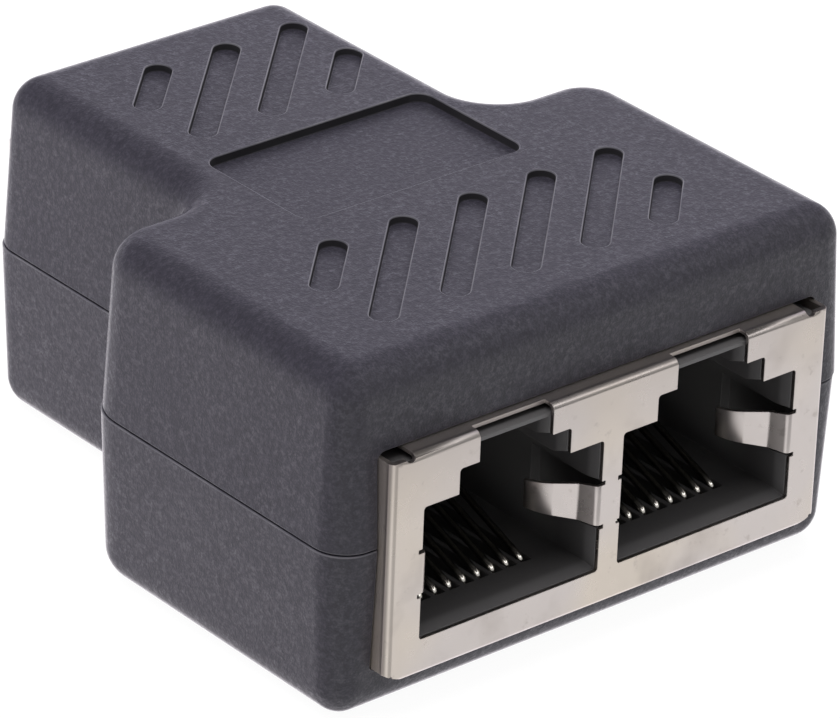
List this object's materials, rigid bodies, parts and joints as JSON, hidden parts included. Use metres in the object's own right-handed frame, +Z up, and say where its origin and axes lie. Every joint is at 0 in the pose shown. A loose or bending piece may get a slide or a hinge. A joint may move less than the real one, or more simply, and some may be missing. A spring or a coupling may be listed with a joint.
{
  "type": "rj45 splitter adapter",
  "caption": "T-shaped network splitter: two shielded modular ports side by side at the wide end and one at the narrow end of a two-shell plastic body.",
  "frame": {"origin": "under the middle of the body, on the surface it rests on", "axes": "-Y towards the face with the two ports, +Y towards the face with the single port, +Z up, the ports' latch side up"},
  "size_m": [0.0368, 0.0434, 0.0209],
  "materials": {
    "shell": "fine spark-eroded grain",
    "shield": "nickel-plated sheet, satin",
    "housing": "moulded black, semi-matt",
    "carrier": "moulded black, matt",
    "contact": "gold-plated spring wire",
    "board": "glass-fibre laminate with solder mask"
  },
  "bodies": {
    "root": {"upper_shell": "shell", "lower_shell": "shell", "dual_jack_shield": "shield", "single_jack_shield": "shield", "dual_jack_housing": "housing", "single_jack_housing": "housing", "left_contact_carrier": "carrier", "right_contact_carrier": "carrier", "rear_contact_carrier": "carrier", "left_contact_1": "contact", "left_contact_2": "contact", "left_contact_3": "contact", "left_contact_4": "contact", "left_contact_5": "contact", "left_contact_6": "contact", "left_contact_7": "contact", "left_contact_8": "contact", "right_contact_1": "contact", "right_contact_2": "contact", "right_contact_3": "contact", "right_contact_4": "contact", "right_contact_5": "contact", "right_contact_6": "contact", "right_contact_7": "contact", "right_contact_8": "contact", "rear_contact_1": "contact", "rear_contact_2": "contact", "rear_contact_3": "contact", "rear_contact_4": "contact", "rear_contact_5": "contact", "rear_contact_6": "contact", "rear_contact_7": "contact", "rear_contact_8": "contact", "circuit_board": "board"}
  },
  "joints": []
}
